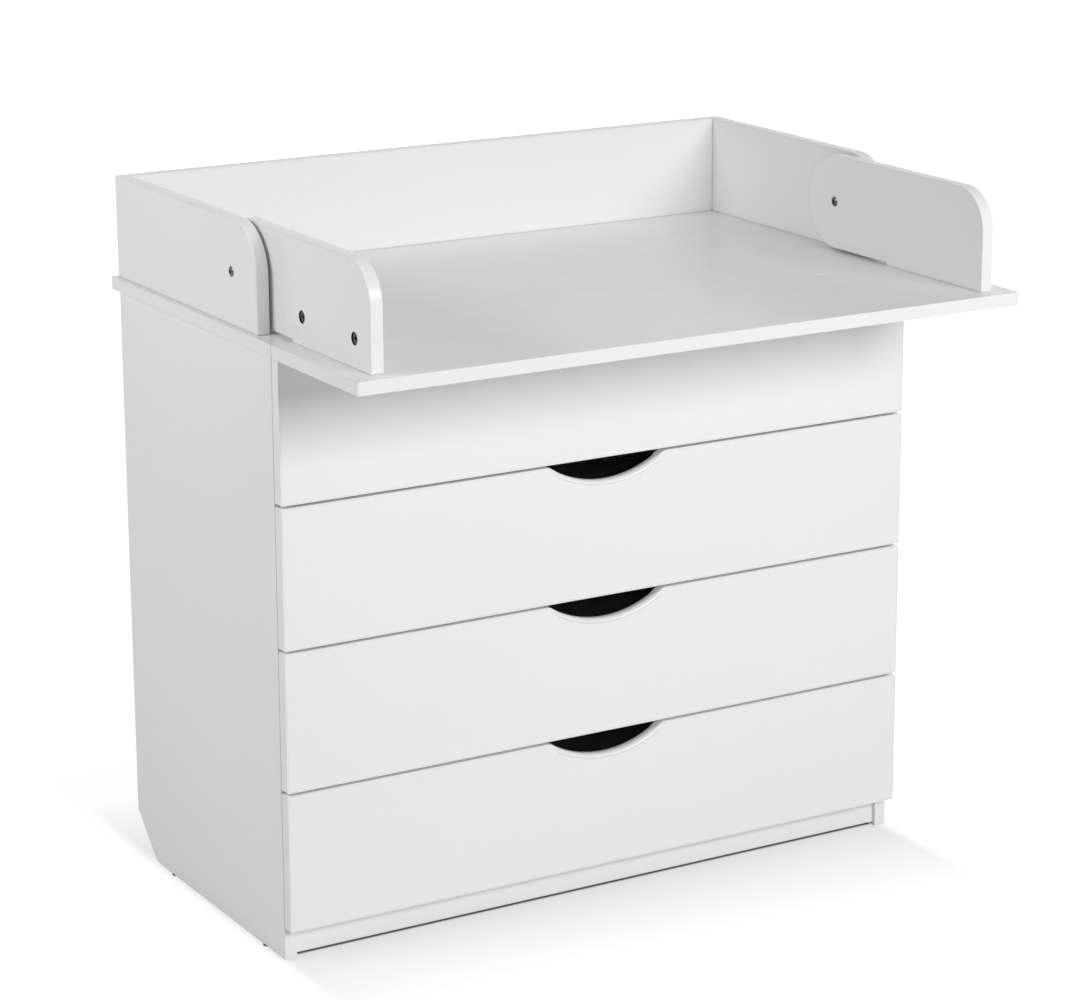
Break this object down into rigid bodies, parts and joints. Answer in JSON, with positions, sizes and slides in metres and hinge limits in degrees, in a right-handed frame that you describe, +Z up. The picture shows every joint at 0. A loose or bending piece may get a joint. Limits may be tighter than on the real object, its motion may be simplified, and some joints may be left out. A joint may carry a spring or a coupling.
{
  "type": "changing dresser",
  "caption": "White changing dresser: full-width drawers with smiling finger cut-outs under a walled changing top whose front half folds back over the rear half.",
  "frame": {"origin": "on the floor, under the middle of the opened-out top (bottom centre of the whole box)", "axes": "+X to the right as seen from the front, +Y to the rear, where the wall is, +Z up"},
  "size_m": [0.9, 0.663, 0.888],
  "materials": {
    "white_laminate": "satin white laminate on chipboard, with matching edge band",
    "white_hardboard": "smooth white lacquered hardboard",
    "runner_zinc": "zinc-plated sheet steel",
    "bolt_steel": "zinc-plated steel",
    "cam_zinc": "die-cast zinc",
    "pivot_nickel": "nickel-plated steel",
    "washer_nylon": "white nylon",
    "glide_plastic": "white plastic",
    "beech": "plain beech"
  },
  "bodies": {
    "cabinet": {"back_panel": "white_hardboard", "back_wall": "white_laminate", "bottom_panel": "white_laminate", "case_bolts": "bolt_steel", "case_cams": "cam_zinc", "glides": "glide_plastic", "pivot_screws": "pivot_nickel", "pivot_washers": "washer_nylon", "plinth": "white_laminate", "rear_wall_left": "white_laminate", "rear_wall_right": "white_laminate", "runner_rails": "runner_zinc", "side_panel_left": "white_laminate", "side_panel_right": "white_laminate", "top_board": "white_laminate", "wall_dowels": "beech", "wall_screws": "bolt_steel"},
    "flap": {"flap_board": "white_laminate", "flap_bolts": "bolt_steel", "flap_cams": "cam_zinc", "flap_wall_left": "white_laminate", "flap_wall_right": "white_laminate", "pivot_sleeves": "pivot_nickel"},
    "drawer_1": {"drawer_1_back": "white_laminate", "drawer_1_bolts": "bolt_steel", "drawer_1_bottom": "white_hardboard", "drawer_1_cams": "cam_zinc", "drawer_1_front": "white_laminate", "drawer_1_side_left": "white_laminate", "drawer_1_side_right": "white_laminate", "drawer_1_slides": "runner_zinc"},
    "drawer_1_carriers": {"drawer_1_carriers": "runner_zinc"},
    "drawer_2": {"drawer_2_back": "white_laminate", "drawer_2_bolts": "bolt_steel", "drawer_2_bottom": "white_hardboard", "drawer_2_cams": "cam_zinc", "drawer_2_front": "white_laminate", "drawer_2_side_left": "white_laminate", "drawer_2_side_right": "white_laminate", "drawer_2_slides": "runner_zinc"},
    "drawer_2_carriers": {"drawer_2_carriers": "runner_zinc"},
    "drawer_3": {"drawer_3_back": "white_laminate", "drawer_3_bolts": "bolt_steel", "drawer_3_bottom": "white_hardboard", "drawer_3_cams": "cam_zinc", "drawer_3_front": "white_laminate", "drawer_3_side_left": "white_laminate", "drawer_3_side_right": "white_laminate", "drawer_3_slides": "runner_zinc"},
    "drawer_3_carriers": {"drawer_3_carriers": "runner_zinc"},
    "drawer_4": {"drawer_4_back": "white_laminate", "drawer_4_bolts": "bolt_steel", "drawer_4_bottom": "white_hardboard", "drawer_4_cams": "cam_zinc", "drawer_4_front": "white_laminate", "drawer_4_side_left": "white_laminate", "drawer_4_side_right": "white_laminate", "drawer_4_slides": "runner_zinc"},
    "drawer_4_carriers": {"drawer_4_carriers": "runner_zinc"}
  },
  "joints": [
    {"name": "flap_hinge", "type": "hinge", "parent": "cabinet", "child": "flap", "pos_m": [0, -0.0045, 0.82475], "axis": [-1, 0, 0], "range_deg": [0, 180]},
    {"name": "drawer_1_slide", "type": "slide", "parent": "cabinet", "child": "drawer_1", "axis": [0, -1, 0], "range_m": [0, 0.4]},
    {"name": "drawer_1_carriers_slide", "type": "slide", "parent": "cabinet", "child": "drawer_1_carriers", "axis": [0, -1, 0], "range_m": [0, 0.2]},
    {"name": "drawer_2_slide", "type": "slide", "parent": "cabinet", "child": "drawer_2", "axis": [0, -1, 0], "range_m": [0, 0.4]},
    {"name": "drawer_2_carriers_slide", "type": "slide", "parent": "cabinet", "child": "drawer_2_carriers", "axis": [0, -1, 0], "range_m": [0, 0.2]},
    {"name": "drawer_3_slide", "type": "slide", "parent": "cabinet", "child": "drawer_3", "axis": [0, -1, 0], "range_m": [0, 0.4]},
    {"name": "drawer_3_carriers_slide", "type": "slide", "parent": "cabinet", "child": "drawer_3_carriers", "axis": [0, -1, 0], "range_m": [0, 0.2]},
    {"name": "drawer_4_slide", "type": "slide", "parent": "cabinet", "child": "drawer_4", "axis": [0, -1, 0], "range_m": [0, 0.4]},
    {"name": "drawer_4_carriers_slide", "type": "slide", "parent": "cabinet", "child": "drawer_4_carriers", "axis": [0, -1, 0], "range_m": [0, 0.2]}
  ],
  "couplings": [
    {"joint": "drawer_1_carriers_slide", "follows": "drawer_1_slide", "ratio": 0.5},
    {"joint": "drawer_2_carriers_slide", "follows": "drawer_2_slide", "ratio": 0.5},
    {"joint": "drawer_3_carriers_slide", "follows": "drawer_3_slide", "ratio": 0.5},
    {"joint": "drawer_4_carriers_slide", "follows": "drawer_4_slide", "ratio": 0.5}
  ]
}
